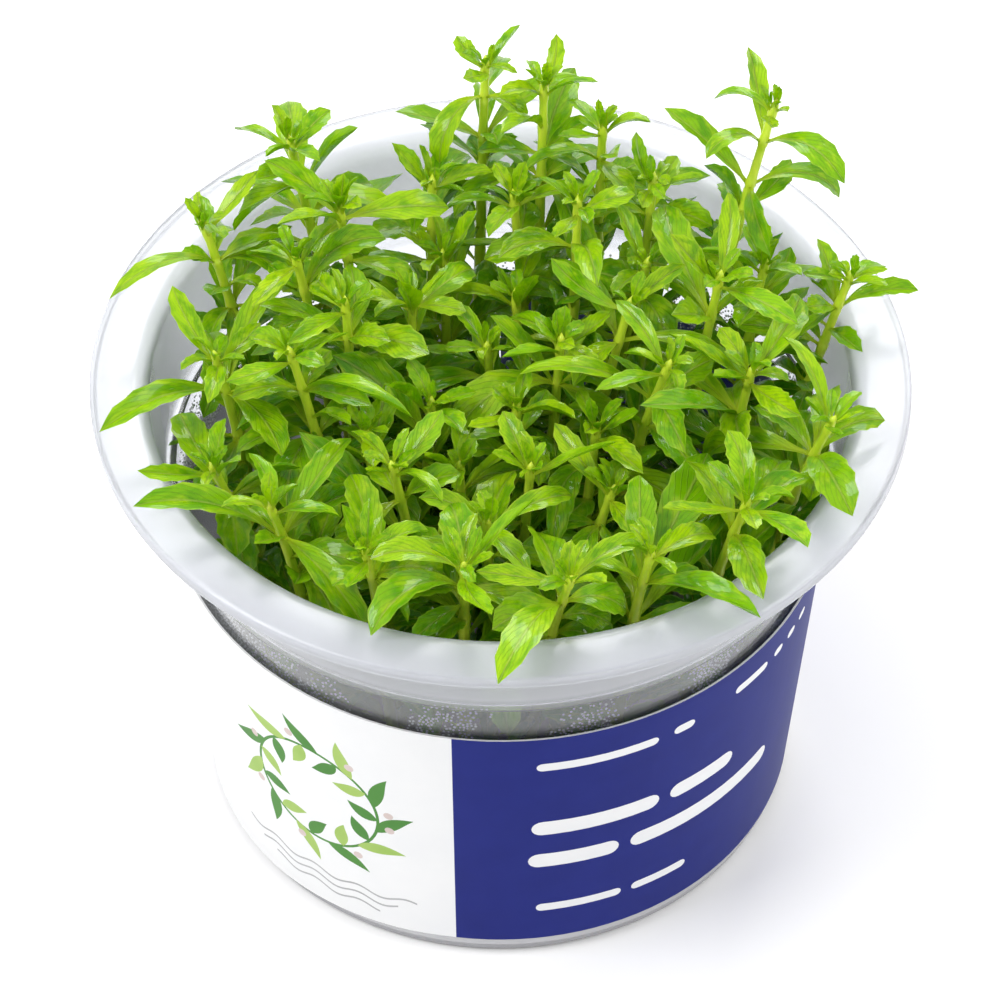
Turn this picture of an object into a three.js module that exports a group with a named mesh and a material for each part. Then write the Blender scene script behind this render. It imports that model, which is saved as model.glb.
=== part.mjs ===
// A plastic cup of tissue-cultured limnophila: a translucent cup with a flat flange, a printed
// label round its wall, a layer of nutrient gel on its floor, and the plantlets that stand on it.
// Millimetres, +Z up. The origin is on the cup's axis, at the face that the cup stands on.
// Azimuths run from +X towards +Y in degrees, and the front of the label faces -Y.
import * as THREE from 'three';
import { mergeVertices } from 'three/addons/utils/BufferGeometryUtils.js';

// Cup
const AROUND = 40; // facets in one turn of the cup, the label and the gel
const RIM_RADIUS = 48;
const RIM_HEIGHT = 63.3;
const FLANGE_THICKNESS = 0.9;
const LIP_DEPTH = 1.7; // the flange's edge turns down this far
const LIP_THICKNESS = 0.7;
const WALL_THICKNESS = 0.8;
const FLOOR_THICKNESS = 0.9;
const BASE_RADIUS = 35.1;
const BASE_CORNER = 0.7;
const WALL_SLOPE = 0.081; // the wall's radius grows this much for each millimetre of height
const LEDGE_HEIGHT = 49;
const NECK_FOOT_RADIUS = 40.3;
const NECK_HEAD_RADIUS = 41.8;
const SHOULDER_RADIUS = 1.5; // where the neck turns out into the flange

// Label, a band with a seam at the back
const LABEL_HEAD = 42.7;
const LABEL_FOOT = 3;
const LABEL_DIP = 1.3; // its foot runs this much lower at the left
const LABEL_DIP_START = -10; // degrees from the front, where the foot begins to dip
const LABEL_DIP_END = -50;
const LABEL_THICKNESS = 0.25;
const GAP = 0.3; // between pieces that touch

// Gel
const GEL_DEPTH = 13;

// Stems
const STEM_RADIUS = 0.75;
const STEM_TIP_RADIUS = 0.48;
const STEM_TIP_LENGTH = 1;
const NODE_SWELLING = 1.25; // a stem is this much thicker where leaves grow from it
const NODE_HALF_HEIGHT = 0.6;
const STEM_BEND = 0.15; // share of its lean that a stem has gained where it bends

// Leaves
const LEAF_STEPS = 12; // steps along a midrib
const LEAF_INSET = 0.8; // a midrib starts this share of the stem's radius from its middle
const LEAF_HALF_THICKNESS = 0.25;
const LEAF_BULGE = 1.35; // above 1, a leaf is widest nearer to its tip
const LEAF_FULLNESS = 0.76; // below 1, a leaf is blunter at both ends
const LEAF_SECTIONS = [5, 9]; // steps that have a cross-section in the solid
const LEAF_CLEARANCE = 0.5; // two leaves keep twice this between their middles
const STEM_CLEARANCE = 1.3;
const WALL_CLEARANCE = 0.7;
const HEADSPACE = { low: [-40.3, -3.5, 50], high: [-35.7, 6.5, 70] }; // left free beside the foliage
const OWN_REACH = 3; // steps from the foot where a leaf may come near to its own plantlet
const LEAST_SPREAD = 30; // degrees between a leaf and the stem that it grows from
const TRIES = 16; // poses that a leaf tries before it is left out
const TRY_TURN = 5; // degrees, to one side and the other in turn
const TRY_TURNS = 8; // after this many tries the turns begin again
const TRY_ROUND = 4; // after this many tries a leaf is raised and shortened
const TRY_RISE = 7; // degrees
const TRY_SHORTENING = 0.88;

// How far single leaves vary to either side, in degrees and in shares of the size
const VARIED = { azimuth: 18, rise: 25, droop: 45, curl: 45, roll: 50, fold: 12, long: 0.28, wide: 0.18 };
const FOLD = 22; // degrees by which each half of a blade is raised
const WHORL_LEAVES = 3;
const WHORL_TURN = 360 / WHORL_LEAVES;

// Whorls of a plantlet from the head down: distance from the head, leaf length and width, rise
// above the horizontal, and droop along the leaf
const WHORLS = [
  { down: 1.5, long: 9, wide: 2.8, rise: 42, droop: 40 },
  { down: 6, long: 15, wide: 4.3, rise: 34, droop: 75 },
  { down: 13.5, long: 16, wide: 4.6, rise: 28, droop: 70 },
  { down: 21.5, long: 14, wide: 4.2, rise: 22, droop: 55 },
];

// Shoots that stand out: the place of the head, where the stem stands on the gel, the azimuth of
// the first leaf, and the size of the leaves
const SHOOTS = [
  { head: [-2, 33, 82.5], foot: [-3, 24], turn: 20, size: 0.75 },
  { head: [5, 31, 81], foot: [4, 19], turn: 75, size: 0.9 },
  { head: [12, 28, 77], foot: [11, 23], turn: 10, size: 0.8 },
  { head: [-25, 25, 77], foot: [-17, 15], turn: 50, size: 1 },
  { head: [-35, 15, 73], foot: [-25, 8], turn: 170, size: 0.85 },
  { head: [-19, 15, 76], foot: [-14, 6], turn: 5, size: 1.2 },
  { head: [-33, -4, 70], foot: [-27, -3], turn: 140, size: 1 },
  { head: [-33, -17, 65], foot: [-24, -13], turn: 190, size: 0.95 },
  { head: [32, 24, 84], foot: [20, 9], turn: 25, size: 0.72 },
  { head: [31, 12, 70], foot: [26, 7], turn: 80, size: 0.85 },
  { head: [18, 22, 74], foot: [15, 13], turn: 120, size: 0.8 },
  { head: [41, 10, 70], foot: [31, 5], turn: 60, size: 0.75 },
  { head: [9, 17, 75], foot: [8, 7], turn: 0, size: 1 },
  { head: [7, 0, 69], foot: [5, -3], turn: 15, size: 1.1 },
  { head: [29, -5, 69], foot: [24, -5], turn: 60, size: 1.25 },
  { head: [8, -38, 69], foot: [3, -25], turn: 50, size: 1.1 },
  { head: [-4, -36, 69], foot: [-4, -22], turn: 30, size: 1.1 },
  { head: [17, -34, 69], foot: [13, -25], turn: 20, size: 1.1 },
  { head: [28, -26, 69], foot: [21, -19], turn: 95, size: 1.1 },
  { head: [38, -14, 70], foot: [28, -10], turn: 340, size: 1.1 },
  { head: [-15, -33, 68], foot: [-12, -24], turn: 20, size: 1 },
  { head: [-26, -26, 68], foot: [-20, -19], turn: 215, size: 1.05 },
];

// The other shoots, spread between those as the seeds of a sunflower are
const FILL_COUNT = 22;
const FILL_PLACES = 400; // places tried
const FILL_REACH = 35;
const FILL_SPACING = 8.5; // the least distance between two heads, seen from above
const FILL_HEIGHT = 69.5; // of a head over the middle of the gel
const FILL_HEIGHT_SLOPE = 0.11; // heads stand higher towards the back
const FILL_HEIGHT_SPREAD = 4.5;
const FILL_FOOT_SHARE = 0.74; // a foot's distance from the axis, as a share of its head's
const FILL_LEAN = 4; // a foot is this far aside at most
const FILL_FOOT_SPACING = 3;
const FILL_SIZE_SPREAD = 0.12;
const GOLDEN_ANGLE = 137.508;
const SHOOT_SEED = 4711;
const LEAF_SEED = 1277;
const LEAF_SEED_STEP = 97; // from one plantlet to the next

const radians = THREE.MathUtils.degToRad;
const degrees = THREE.MathUtils.radToDeg;

// Cup, label and gel

function wallRadius(height) {
  return BASE_RADIUS + WALL_SLOPE * height;
}

// The radius of the cup's inner face at a height
function innerRadius(height) {
  if (height < LEDGE_HEIGHT + WALL_THICKNESS) {
    return wallRadius(height) - WALL_THICKNESS;
  }
  const share = (height - LEDGE_HEIGHT) / (RIM_HEIGHT - LEDGE_HEIGHT);
  return NECK_FOOT_RADIUS + share * (NECK_HEAD_RADIUS - NECK_FOOT_RADIUS) - WALL_THICKNESS;
}

function arc(centreRadius, centreHeight, radius, from, to) {
  const steps = 2;
  const points = [];
  for (let i = 0; i <= steps; i += 1) {
    const angle = radians(from + ((to - from) * i) / steps);
    points.push(
      new THREE.Vector2(centreRadius + radius * Math.cos(angle), centreHeight + radius * Math.sin(angle)),
    );
  }
  return points;
}

// Turns a profile of radii and heights round the Z axis
function turned(profile) {
  const geometry = new THREE.LatheGeometry(profile, AROUND);
  geometry.rotateX(Math.PI / 2);
  geometry.deleteAttribute('normal');
  geometry.deleteAttribute('uv');
  return mergeVertices(geometry);
}

function cupGeometry() {
  const point = (radius, height) => new THREE.Vector2(radius, height);
  const flangeUnder = RIM_HEIGHT - FLANGE_THICKNESS;
  const shoulderRadius = NECK_HEAD_RADIUS + SHOULDER_RADIUS;
  const shoulderHeight = flangeUnder - SHOULDER_RADIUS;
  const lipRadius = RIM_RADIUS - LIP_THICKNESS;
  const innerSide = SHOULDER_RADIUS + WALL_THICKNESS;
  const innerTop = RIM_HEIGHT - innerSide;
  const ledgeTop = LEDGE_HEIGHT + WALL_THICKNESS;
  return turned([
    point(0, 0),
    ...arc(wallRadius(0) - BASE_CORNER, BASE_CORNER, BASE_CORNER, -90, 0),
    point(wallRadius(LEDGE_HEIGHT), LEDGE_HEIGHT),
    point(NECK_FOOT_RADIUS, LEDGE_HEIGHT),
    ...arc(shoulderRadius, shoulderHeight, SHOULDER_RADIUS, 180, 90),
    point(lipRadius, flangeUnder),
    point(lipRadius, RIM_HEIGHT - LIP_DEPTH),
    point(RIM_RADIUS, RIM_HEIGHT - LIP_DEPTH),
    point(RIM_RADIUS, RIM_HEIGHT - LIP_THICKNESS / 2),
    point(RIM_RADIUS - LIP_THICKNESS / 2, RIM_HEIGHT),
    ...arc(shoulderRadius, innerTop, innerSide, 90, 180),
    point(NECK_FOOT_RADIUS - WALL_THICKNESS, ledgeTop),
    point(wallRadius(ledgeTop) - WALL_THICKNESS, ledgeTop),
    point(wallRadius(BASE_CORNER) - WALL_THICKNESS, BASE_CORNER + FLOOR_THICKNESS / 2),
    point(wallRadius(0) - BASE_CORNER, FLOOR_THICKNESS),
    point(0, FLOOR_THICKNESS),
  ]);
}

// A closed surface, built up from points and triangles
class Surface {
  constructor() {
    this.coordinates = [];
    this.triangles = [];
  }

  point(place) {
    this.coordinates.push(place.x, place.y, place.z);
    return this.coordinates.length / 3 - 1;
  }

  middle(corners) {
    const sum = new THREE.Vector3();
    corners.forEach((corner) => sum.add(new THREE.Vector3().fromArray(this.coordinates, 3 * corner)));
    return sum.divideScalar(corners.length);
  }

  // Joins two loops of points, the first seen running counter-clockwise from the second's side,
  // and splits each quad along the diagonal that lies further out
  band(loop, next) {
    const inside = this.middle([...loop, ...next]);
    loop.forEach((corner, i) => {
      const j = (i + 1) % loop.length;
      const reach = this.middle([corner, next[j]]).distanceTo(inside);
      const otherReach = this.middle([loop[j], next[i]]).distanceTo(inside);
      if (reach > otherReach) {
        this.triangles.push(corner, loop[j], next[j], corner, next[j], next[i]);
      } else {
        this.triangles.push(corner, loop[j], next[i], loop[j], next[j], next[i]);
      }
    });
  }

  // Closes a loop on a point, or on its own first corner
  close(loop, apex) {
    loop.forEach((corner, i) => {
      const after = loop[(i + 1) % loop.length];
      if (apex !== corner && apex !== after) {
        this.triangles.push(corner, after, apex);
      }
    });
  }

  geometry() {
    const made = new THREE.BufferGeometry();
    made.setAttribute('position', new THREE.Float32BufferAttribute(this.coordinates, 3));
    made.setIndex(this.triangles);
    return made;
  }
}

// The height of the label's foot, by degrees round from the front
function labelFoot(fromFront) {
  const share = (fromFront - LABEL_DIP_START) / (LABEL_DIP_END - LABEL_DIP_START);
  return LABEL_FOOT - LABEL_DIP * THREE.MathUtils.clamp(share, 0, 1);
}

function labelGeometry() {
  const surface = new Surface();
  const facet = 360 / AROUND;
  const onWall = (azimuth, height, stand) => {
    const radius = wallRadius(height) + stand;
    return surface.point(
      new THREE.Vector3(radius * Math.cos(radians(azimuth)), radius * Math.sin(radians(azimuth)), height),
    );
  };
  const loops = [];
  for (let i = 0; i < AROUND; i += 1) {
    const fromFront = -180 + facet * (i + 0.5);
    const azimuth = fromFront - 90 + facet / 2;
    const foot = labelFoot(fromFront);
    loops.push([
      onWall(azimuth, foot, GAP),
      onWall(azimuth, foot, GAP + LABEL_THICKNESS),
      onWall(azimuth, LABEL_HEAD, GAP + LABEL_THICKNESS),
      onWall(azimuth, LABEL_HEAD, GAP),
    ]);
  }
  for (let i = 1; i < loops.length; i += 1) {
    surface.band(loops[i], loops[i - 1]);
  }
  const first = loops[0];
  const last = [...loops[loops.length - 1]].reverse();
  surface.close(first, first[0]);
  surface.close(last, last[0]);
  return surface.geometry();
}

function gelGeometry() {
  const foot = FLOOR_THICKNESS + GAP;
  const head = foot + GEL_DEPTH;
  const stand = WALL_THICKNESS + GAP;
  return turned([
    new THREE.Vector2(0, foot),
    new THREE.Vector2(wallRadius(0) - BASE_CORNER - GAP, foot),
    new THREE.Vector2(wallRadius(BASE_CORNER) - stand, BASE_CORNER + FLOOR_THICKNESS),
    new THREE.Vector2(wallRadius(head) - stand, head),
    new THREE.Vector2(0, head),
  ]);
}

// Plantlets

// Draws numbers from 0 to 1, the same ones for the same seed
function drawing(seed) {
  const factor = 16807;
  const modulus = 2147483647;
  let state = seed;
  const draw = () => {
    state = (state * factor) % modulus;
    return state / modulus;
  };
  draw();
  draw();
  return draw;
}

function around(draw, middle, spread) {
  return middle + spread * (2 * draw() - 1);
}

const STEM_FOOT = FLOOR_THICKNESS + GAP + GEL_DEPTH + GAP;

// The shoots that stand out, then the others
function shoots() {
  const all = SHOOTS.map((shoot) => ({ ...shoot }));
  const draw = drawing(SHOOT_SEED);
  for (let i = 0; i < FILL_PLACES && all.length < SHOOTS.length + FILL_COUNT; i += 1) {
    const radius = FILL_REACH * Math.sqrt((i + 0.5) / FILL_PLACES);
    const azimuth = radians(i * GOLDEN_ANGLE);
    const x = radius * Math.cos(azimuth);
    const y = radius * Math.sin(azimuth);
    const height = around(draw, FILL_HEIGHT + FILL_HEIGHT_SLOPE * y, FILL_HEIGHT_SPREAD);
    const turn = WHORL_TURN * draw();
    const size = around(draw, 1, FILL_SIZE_SPREAD);
    const foot = [around(draw, x * FILL_FOOT_SHARE, FILL_LEAN), around(draw, y * FILL_FOOT_SHARE, FILL_LEAN)];
    const free = all.every(
      (other) =>
        Math.hypot(other.head[0] - x, other.head[1] - y) > FILL_SPACING &&
        Math.hypot(other.foot[0] - foot[0], other.foot[1] - foot[1]) > FILL_FOOT_SPACING,
    );
    if (free) {
      all.push({ head: [x, y, height], foot, turn, size });
    }
  }
  return all;
}

// A stem's middle line, which starts upright and leans further towards its head
function stemCurve(shoot) {
  const foot = new THREE.Vector3(...shoot.foot, STEM_FOOT);
  const head = new THREE.Vector3(...shoot.head);
  const bend = new THREE.Vector3(
    foot.x + (head.x - foot.x) * STEM_BEND,
    foot.y + (head.y - foot.y) * STEM_BEND,
    (foot.z + head.z) / 2,
  );
  return new THREE.QuadraticBezierCurve3(foot, bend, head);
}

// A place on a stem with the stem's direction and radius there
function stemStation(shoot, curve, down) {
  const share = 1 - down / (shoot.head[2] - STEM_FOOT);
  const radius = STEM_TIP_RADIUS + (STEM_RADIUS - STEM_TIP_RADIUS) * Math.min(1, 2 * (1 - share));
  return { place: curve.getPoint(share), along: curve.getTangent(share), radius };
}

function level(azimuth) {
  return new THREE.Vector3(Math.cos(radians(azimuth)), Math.sin(radians(azimuth)), 0);
}

// A leaf's midrib: at each step a place, the directions to its side and up, and half its width
function leafSpine(station, leaf) {
  const place = station.place.clone().addScaledVector(level(leaf.azimuth), station.radius * LEAF_INSET);
  const steps = [];
  for (let i = 0; i <= LEAF_STEPS; i += 1) {
    const share = i / LEAF_STEPS;
    const azimuth = leaf.azimuth + leaf.curl * share;
    const dip = radians(leaf.rise - leaf.droop * share);
    const along = level(azimuth).multiplyScalar(Math.cos(dip)).setZ(Math.sin(dip));
    const side = level(azimuth + 90).applyAxisAngle(along, radians(leaf.roll * share));
    const up = new THREE.Vector3().crossVectors(along, side);
    const half = (leaf.wide / 2) * Math.sin(Math.PI * share ** LEAF_BULGE) ** LEAF_FULLNESS;
    steps.push({ place: place.clone(), along, side, up, half: share < 1 ? half : 0 });
    place.addScaledVector(along, leaf.long / LEAF_STEPS);
  }
  return steps;
}

// A point of the leaf's upper face, from -1 at one margin to 1 at the other
function leafPoint(step, across, fold) {
  const reach = step.half * across;
  return step.place
    .clone()
    .addScaledVector(step.side, reach * Math.cos(radians(fold)))
    .addScaledVector(step.up, Math.abs(reach) * Math.sin(radians(fold)));
}

// What is already placed, as small balls sorted into cubes
class Crowd {
  constructor() {
    this.size = 2 * STEM_CLEARANCE;
    this.cubes = new Map();
  }

  cube(value) {
    return Math.floor(value / this.size);
  }

  add(ball) {
    const key = `${this.cube(ball.x)} ${this.cube(ball.y)} ${this.cube(ball.z)}`;
    if (!this.cubes.has(key)) {
      this.cubes.set(key, []);
    }
    this.cubes.get(key).push(ball);
  }

  touches(ball) {
    for (let x = this.cube(ball.x) - 1; x <= this.cube(ball.x) + 1; x += 1) {
      for (let y = this.cube(ball.y) - 1; y <= this.cube(ball.y) + 1; y += 1) {
        for (let z = this.cube(ball.z) - 1; z <= this.cube(ball.z) + 1; z += 1) {
          const near = this.cubes.get(`${x} ${y} ${z}`) ?? [];
          if (near.some((other) => this.meets(ball, other))) {
            return true;
          }
        }
      }
    }
    return false;
  }

  meets(ball, other) {
    if (ball.owner === other.owner && (ball.foot || other.foot)) {
      return false;
    }
    const reach = ball.radius + other.radius;
    const apart = (ball.x - other.x) ** 2 + (ball.y - other.y) ** 2 + (ball.z - other.z) ** 2;
    return apart < reach * reach;
  }
}

function leafBalls(steps, leaf, owner) {
  const balls = [];
  for (let i = 1; i < steps.length; i += 1) {
    for (const across of [-1, -0.5, 0, 0.5, 1]) {
      const point = leafPoint(steps[i], across, leaf.fold);
      balls.push({ x: point.x, y: point.y, z: point.z, radius: LEAF_CLEARANCE, owner, foot: i <= OWN_REACH });
    }
  }
  return balls;
}

// Whether a point is inside the cup and out of its free space, or clear above the flange
function clearOfCup(ball) {
  const radius = Math.hypot(ball.x, ball.y);
  const { low, high } = HEADSPACE;
  if ([ball.x, ball.y, ball.z].every((value, i) => value > low[i] && value < high[i])) {
    return false;
  }
  if (ball.z > RIM_HEIGHT + WALL_CLEARANCE) {
    return true;
  }
  return radius < innerRadius(ball.z) - WALL_CLEARANCE;
}

// The leaf in the first pose that is clear of everything placed before it
function placeLeaf(crowd, station, wanted, owner) {
  for (let i = 0; i < TRIES; i += 1) {
    const turn = TRY_TURN * Math.ceil((i % TRY_TURNS) / 2) * (i % 2 ? 1 : -1);
    const effort = Math.floor(i / TRY_ROUND);
    const leaf = {
      ...wanted,
      azimuth: wanted.azimuth + turn,
      rise: wanted.rise + TRY_RISE * effort,
      long: wanted.long * TRY_SHORTENING ** effort,
    };
    const steps = leafSpine(station, leaf);
    const balls = leafBalls(steps, leaf, owner);
    const spread = degrees(steps[0].along.angleTo(station.along));
    if (spread > LEAST_SPREAD && balls.every((ball) => clearOfCup(ball) && !crowd.touches(ball))) {
      balls.forEach((ball) => crowd.add(ball));
      return { steps, fold: leaf.fold };
    }
  }
  return null;
}

// Every plantlet with the leaves that found room, those nearest to the heads first
function plantlets() {
  const all = shoots().map((shoot, owner) => {
    const curve = stemCurve(shoot);
    return { shoot, curve, owner, draw: drawing(LEAF_SEED + LEAF_SEED_STEP * owner), whorls: [] };
  });
  const crowd = new Crowd();
  for (const { shoot, curve, owner } of all) {
    const height = shoot.head[2] - STEM_FOOT;
    for (let down = 0; down < height; down += 1) {
      const { place } = stemStation(shoot, curve, down);
      crowd.add({ x: place.x, y: place.y, z: place.z, radius: STEM_CLEARANCE, owner, foot: true });
    }
  }
  WHORLS.forEach((whorl, rank) => {
    for (const { shoot, curve, owner, draw, whorls } of all) {
      const station = stemStation(shoot, curve, whorl.down * shoot.size);
      const facing = shoot.turn + (WHORL_TURN / 2) * rank;
      const leaves = [];
      for (let k = 0; k < WHORL_LEAVES; k += 1) {
        const wanted = {
          azimuth: around(draw, facing + WHORL_TURN * k, VARIED.azimuth),
          rise: around(draw, whorl.rise, VARIED.rise),
          droop: around(draw, whorl.droop, VARIED.droop),
          curl: around(draw, 0, VARIED.curl),
          roll: around(draw, 0, VARIED.roll),
          fold: around(draw, FOLD, VARIED.fold),
          long: whorl.long * shoot.size * around(draw, 1, VARIED.long),
          wide: whorl.wide * shoot.size * around(draw, 1, VARIED.wide),
        };
        leaves.push(placeLeaf(crowd, station, wanted, owner));
      }
      whorls.push({ station, facing, leaves });
    }
  });
  return all;
}

// Three points round a stem, level with each other
function stemRing(surface, station, azimuth, rise, radius) {
  return [0, 1, 2].map((k) => {
    const place = station.place.clone().addScaledVector(level(azimuth + WHORL_TURN * k), radius);
    return surface.point(place.setZ(place.z + rise));
  });
}

// Draws a leaf out of a triangle of the stem
function growLeaf(surface, corners, leaf) {
  let loop = corners;
  for (const index of LEAF_SECTIONS) {
    const step = leaf.steps[index];
    const keel = step.place.clone().addScaledVector(step.up, -LEAF_HALF_THICKNESS);
    const next = [
      surface.point(keel),
      surface.point(leafPoint(step, 1, leaf.fold)),
      surface.point(leafPoint(step, -1, leaf.fold)),
    ];
    surface.band(loop, next);
    loop = next;
  }
  surface.close(loop, surface.point(leaf.steps[LEAF_STEPS].place));
}

// One plantlet: a three-sided stem whose whorls face in turn, with leaves growing from its sides
function plantletGeometry(plantlet) {
  const { shoot, curve, whorls } = plantlet;
  const surface = new Surface();
  const lowest = whorls[whorls.length - 1];
  const root = stemStation(shoot, curve, shoot.head[2] - STEM_FOOT);
  let ring = stemRing(surface, root, lowest.facing, 0, STEM_RADIUS);
  surface.close([...ring].reverse(), ring[0]);
  for (let rank = whorls.length - 1; rank >= 0; rank -= 1) {
    const { station, facing, leaves } = whorls[rank];
    const radius = station.radius * NODE_SWELLING;
    const lower = stemRing(surface, station, facing, -NODE_HALF_HEIGHT, radius);
    const upper = stemRing(surface, station, facing + WHORL_TURN / 2, NODE_HALF_HEIGHT, radius);
    surface.band(ring, lower);
    for (let k = 0; k < WHORL_LEAVES; k += 1) {
      const corners = [lower[k], upper[k], upper[(k + 2) % WHORL_LEAVES]];
      surface.triangles.push(lower[k], lower[(k + 1) % WHORL_LEAVES], upper[k]);
      if (leaves[k]) {
        growLeaf(surface, corners, leaves[k]);
      } else {
        surface.triangles.push(...corners);
      }
    }
    ring = rank > 0 ? [upper[2], upper[0], upper[1]] : upper;
  }
  const head = stemStation(shoot, curve, 0);
  const tip = head.place.clone().addScaledVector(head.along, STEM_TIP_LENGTH);
  surface.close(ring, surface.point(tip));
  return surface.geometry();
}

// The object

const finishes = {
  polypropylene: { color: 0xdde0e2, roughness: 0.35, metalness: 0 },
  label_print: { color: 0x2d3a8c, roughness: 0.45, metalness: 0 },
  nutrient_gel: { color: 0xe6e2c8, roughness: 0.2, metalness: 0 },
  leaf: { color: 0x86b81c, roughness: 0.4, metalness: 0 },
};

const object = new THREE.Group();

function addPiece(name, geometry, finish) {
  const mesh = new THREE.Mesh(geometry, new THREE.MeshStandardMaterial(finishes[finish]));
  mesh.name = name;
  object.add(mesh);
}

addPiece('cup', cupGeometry(), 'polypropylene');
addPiece('label', labelGeometry(), 'label_print');
addPiece('nutrient_gel', gelGeometry(), 'nutrient_gel');
plantlets().forEach((plantlet, index) => {
  const number = String(index + 1).padStart(2, '0');
  addPiece(`plantlet_${number}`, plantletGeometry(plantlet), 'leaf');
});

export default object;
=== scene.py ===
import math
from math import cos, pi, radians, sin

import bpy
import numpy as np
from mathutils import Matrix, Vector
from mathutils.geometry import delaunay_2d_cdt


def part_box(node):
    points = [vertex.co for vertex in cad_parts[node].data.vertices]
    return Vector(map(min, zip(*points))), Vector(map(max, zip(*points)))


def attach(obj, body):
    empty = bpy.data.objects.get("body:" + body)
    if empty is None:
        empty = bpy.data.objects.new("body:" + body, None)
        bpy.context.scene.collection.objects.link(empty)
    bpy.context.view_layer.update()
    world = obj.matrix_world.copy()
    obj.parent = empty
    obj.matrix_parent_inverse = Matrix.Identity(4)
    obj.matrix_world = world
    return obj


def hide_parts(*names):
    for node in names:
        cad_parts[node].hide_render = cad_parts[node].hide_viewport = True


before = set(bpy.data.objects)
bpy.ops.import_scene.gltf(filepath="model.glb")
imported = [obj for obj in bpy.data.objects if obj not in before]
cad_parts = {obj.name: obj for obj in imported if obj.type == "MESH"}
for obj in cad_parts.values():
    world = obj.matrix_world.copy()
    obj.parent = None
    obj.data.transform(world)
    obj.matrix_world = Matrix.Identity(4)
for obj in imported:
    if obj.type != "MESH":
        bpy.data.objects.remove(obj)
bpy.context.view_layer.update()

MM = 0.001

# Camera
# It stands in front of the cup and looks down on it at about 46 degrees, from far enough away
# that the cup's far side is hardly smaller than its near side.
CAMERA_PLACE = Vector((0.0, -0.4624, 0.5256))
CAMERA_PITCH = 46.29  # degrees below the horizon
CAMERA_ROLL = 0.27
CAMERA_LENS = 201.5  # mm, on a 36 mm sensor

camera_data = bpy.data.cameras.new("camera")
camera_data.lens = CAMERA_LENS
camera_data.sensor_width = 36.0
camera_data.clip_start = 0.01
camera = bpy.data.objects.new("camera", camera_data)
tilt = Matrix.Rotation(radians(90.0 - CAMERA_PITCH), 4, "X")
camera.matrix_world = Matrix.Translation(CAMERA_PLACE) @ tilt @ Matrix.Rotation(radians(CAMERA_ROLL), 4, "Z")
bpy.context.scene.collection.objects.link(camera)
bpy.context.scene.camera = camera
bpy.context.scene.view_settings.view_transform = "Standard"
bpy.context.scene.cycles.use_denoising = True
# Light that has passed through this many leaves and walls is too weak to matter
bpy.context.scene.cycles.max_bounces = 7
bpy.context.scene.cycles.transmission_bounces = 6
bpy.context.scene.cycles.diffuse_bounces = 3
bpy.context.scene.cycles.glossy_bounces = 3


# Floor and light
# A seamless white table in a soft white room, with a large softbox high on the left, a smaller
# one on the right and a strip behind that lights the leaves through.
def linear(colour):
    """Turns an sRGB hex colour into the linear one that shaders take."""
    channels = [int(colour[i:i + 2], 16) / 255.0 for i in (1, 3, 5)]
    return tuple(c / 12.92 if c <= 0.04045 else ((c + 0.055) / 1.055) ** 2.4 for c in channels) + (1.0,)


def add_node(tree, kind, inputs=None, **settings):
    """Adds one node with its settings, and links or sets its inputs."""
    made = tree.nodes.new(kind)
    for name, value in settings.items():
        setattr(made, name, value)
    for name, value in (inputs or {}).items():
        if isinstance(value, bpy.types.NodeSocket):
            tree.links.new(value, made.inputs[name])
        else:
            made.inputs[name].default_value = value
    return made


def new_material(name):
    """A material with its Principled shader, and its node tree."""
    material = bpy.data.materials.new(name)
    material.use_nodes = True
    return material, material.node_tree, material.node_tree.nodes["Principled BSDF"]


def new_piece(name, vertices, faces, materials, smooth=True):
    """A mesh object at the origin, in metres, with its materials."""
    mesh = bpy.data.meshes.new(name)
    mesh.from_pydata(vertices, [], faces)
    for material in materials:
        mesh.materials.append(material)
    mesh.polygons.foreach_set("use_smooth", [smooth] * len(mesh.polygons))
    mesh.update()
    piece = bpy.data.objects.new(name, mesh)
    bpy.context.scene.collection.objects.link(piece)
    return piece


floor_material, _, floor_shader = new_material("matt_white_table")
floor_shader.inputs["Roughness"].default_value = 0.9
floor_shader.inputs["Base Color"].default_value = linear("#ffffff")
FLOOR_SIDE = 3.0
floor_corners = [(x * FLOOR_SIDE, y * FLOOR_SIDE, -0.0001) for x, y in ((-1, -1), (1, -1), (1, 1), (-1, 1))]
floor = new_piece("table", floor_corners, [(0, 1, 2, 3)], [floor_material], smooth=False)

world = bpy.data.worlds.new("white_room")
world.use_nodes = True
world.node_tree.nodes["Background"].inputs["Color"].default_value = (1.0, 1.0, 1.0, 1.0)
world.node_tree.nodes["Background"].inputs["Strength"].default_value = 0.82
bpy.context.scene.world = world


def add_softbox(name, place, aim, side, power):
    light_data = bpy.data.lights.new(name, "AREA")
    light_data.shape = "SQUARE"
    light_data.size = side
    light_data.energy = power
    light = bpy.data.objects.new(name, light_data)
    light.location = place
    light.rotation_euler = (Vector(aim) - Vector(place)).to_track_quat("-Z", "Y").to_euler()
    bpy.context.scene.collection.objects.link(light)


add_softbox("softbox_left", (-0.35, -0.15, 0.55), (0, 0, 0.06), 0.26, 2.0)
add_softbox("softbox_right", (0.45, -0.1, 0.4), (0, 0, 0.05), 0.25, 0.7)
add_softbox("strip_behind", (0.05, 0.5, 0.45), (0, 0, 0.06), 0.3, 1.6)


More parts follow.
